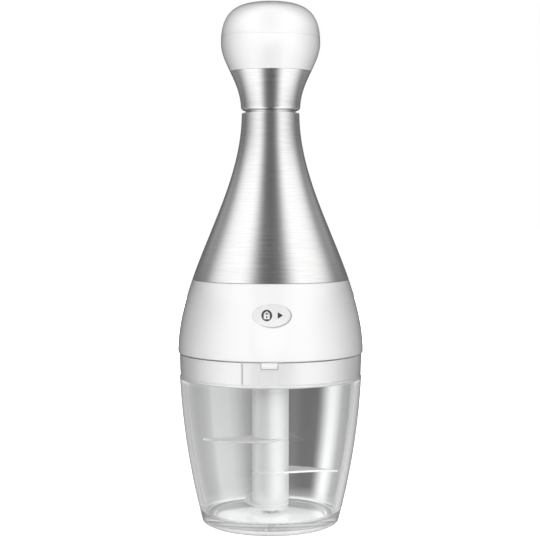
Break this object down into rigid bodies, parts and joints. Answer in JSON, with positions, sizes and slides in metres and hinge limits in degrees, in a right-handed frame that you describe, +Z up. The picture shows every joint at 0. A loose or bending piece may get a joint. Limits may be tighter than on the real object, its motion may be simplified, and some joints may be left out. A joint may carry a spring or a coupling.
{
  "type": "plunger food chopper",
  "caption": "Skittle-shaped hand chopper: pressing the knob spins sickle blades in a clear bowl under a steel and white head.",
  "frame": {"origin": "middle of the foot ring's underside, on the surface the chopper stands on", "axes": "+Z up along the axis of bowl and plunger, -Y to the front with the lock badge and index tab"},
  "size_m": [0.0978, 0.0978, 0.2753],
  "materials": {
    "clear_plastic": "clear, polished",
    "clear_rubber": "translucent grey, satin",
    "white_plastic": "glossy moulded white",
    "pearl_plastic": "smooth off-white",
    "inner_plastic": "plain moulded acetal",
    "dark_plastic": "dark grey bearing plastic",
    "grey_rubber": "matt silicone",
    "brushed_steel": "brushed round the axis",
    "polished_steel": "polished tube",
    "blade_steel": "satin with ground edges",
    "steel": "plain steel",
    "badge": "smooth pale oval with printed symbols"
  },
  "bodies": {
    "bowl_body": {"bowl": "clear_plastic", "foot_ring": "clear_rubber", "bowl_collar": "white_plastic", "pivot_pin": "steel"},
    "head": {"housing": "white_plastic", "neck_shell": "brushed_steel", "lock_badge": "badge", "lid_plate": "white_plastic", "lid_seal": "grey_rubber", "shaft_seal": "grey_rubber", "thrust_washer": "inner_plastic", "core_frame": "inner_plastic", "neck_bush": "dark_plastic", "spindle_bush": "inner_plastic", "frame_screws": "steel", "return_spring": "steel"},
    "plunger": {"knob_cap": "white_plastic", "knob_body": "white_plastic", "knob_collar": "brushed_steel", "plunger_tube": "polished_steel", "drive_nut": "inner_plastic", "tube_plug": "inner_plastic", "knob_screw": "steel", "knob_buffer": "grey_rubber"},
    "drive": {"spindle": "inner_plastic", "lock_clip": "steel", "pawl_spider": "inner_plastic", "ratchet_cup": "inner_plastic", "column_core": "steel", "upper_sleeve": "pearl_plastic", "middle_sleeve": "pearl_plastic", "lower_sleeve": "pearl_plastic", "column_foot": "pearl_plastic", "pivot_bush": "inner_plastic", "upper_blade": "blade_steel", "middle_blade": "blade_steel", "lower_blade": "blade_steel"}
  },
  "joints": [
    {"name": "head_turn", "type": "hinge", "parent": "bowl_body", "child": "head", "pos_m": [0, 0, 0.0898], "axis": [0, 0, 1], "range_deg": [-12, 0]},
    {"name": "plunger_slide", "type": "slide", "parent": "head", "child": "plunger", "axis": [0, 0, 1], "range_m": [0, 0.045], "deforming": ["return_spring"]},
    {"name": "blade_spin", "type": "hinge", "parent": "head", "child": "drive", "pos_m": [0, 0, 0.05], "axis": [0, 0, 1], "range_deg": [-450, 0]}
  ],
  "couplings": [
    {"joint": "blade_spin", "follows": "plunger_slide", "rad_per_m": -174.53}
  ]
}
